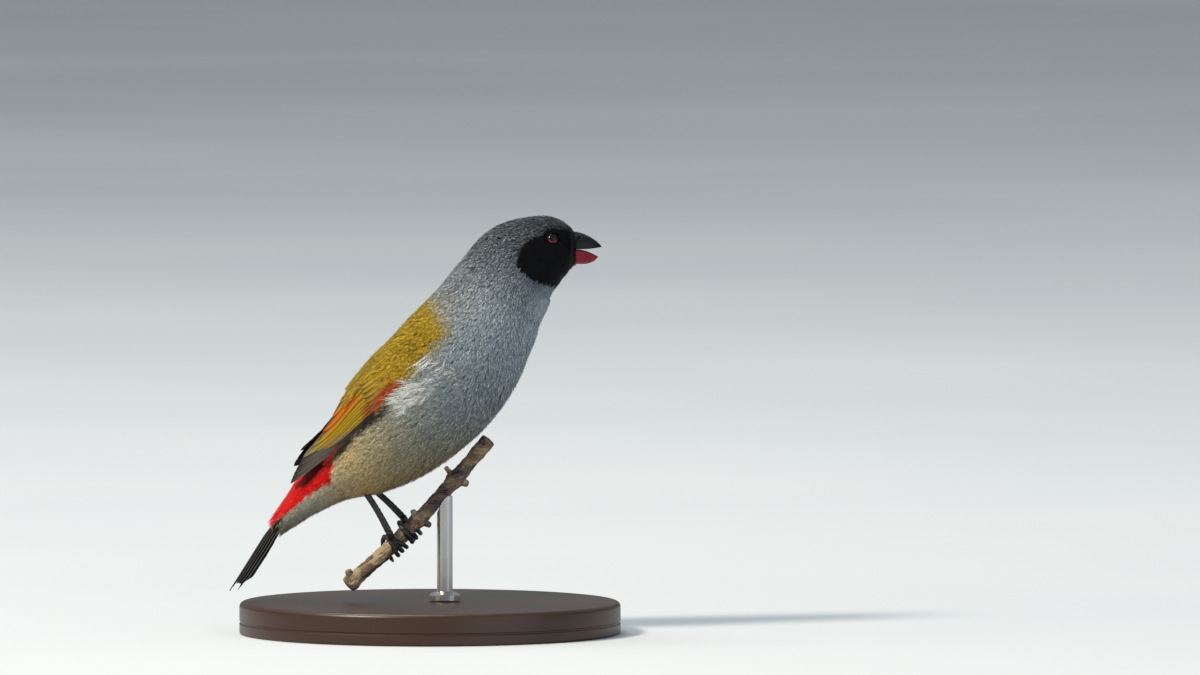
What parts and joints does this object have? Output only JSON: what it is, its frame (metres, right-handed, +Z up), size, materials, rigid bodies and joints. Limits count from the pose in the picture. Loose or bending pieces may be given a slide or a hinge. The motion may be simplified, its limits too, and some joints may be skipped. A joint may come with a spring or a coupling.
{
  "type": "swee waxbill",
  "caption": "Life-size still model of a small waxbill clasping a slanting cut stem, head and bill up, tail hanging, held over a flat round base by one upright rod.",
  "frame": {"origin": "centre of the display base's flat underside", "axes": "+Z up from the underside; the bird faces +X, with its tail towards -X and its right side towards -Y"},
  "size_m": [0.0739, 0.072, 0.079],
  "materials": {
    "crown_plumage": "fine short feathers",
    "neck_plumage": "fine soft feathers",
    "belly_plumage": "loose soft feathers",
    "rump_plumage": "fine soft feathers",
    "wing_plumage": "smooth firm feathers",
    "tail_plumage": "smooth firm feathers",
    "bill_black": "smooth horn",
    "bill_red": "smooth horn",
    "eye": "wet and clear",
    "leg_skin": "scaly horn skin",
    "bark": "weathered bark",
    "base_wood": "oiled hardwood",
    "rod_steel": "brushed"
  },
  "bodies": {
    "root": {"head": "crown_plumage", "neck": "neck_plumage", "torso": "belly_plumage", "rump": "rump_plumage", "wing_right": "wing_plumage", "wing_left": "wing_plumage", "tail": "tail_plumage", "bill_upper": "bill_black", "bill_lower": "bill_red", "eye_right": "eye", "eye_left": "eye", "tarsus_right": "leg_skin", "tarsus_left": "leg_skin", "foot_right": "leg_skin", "foot_left": "leg_skin", "perch": "bark", "stand_base": "base_wood", "stand_rod": "rod_steel"}
  },
  "joints": []
}
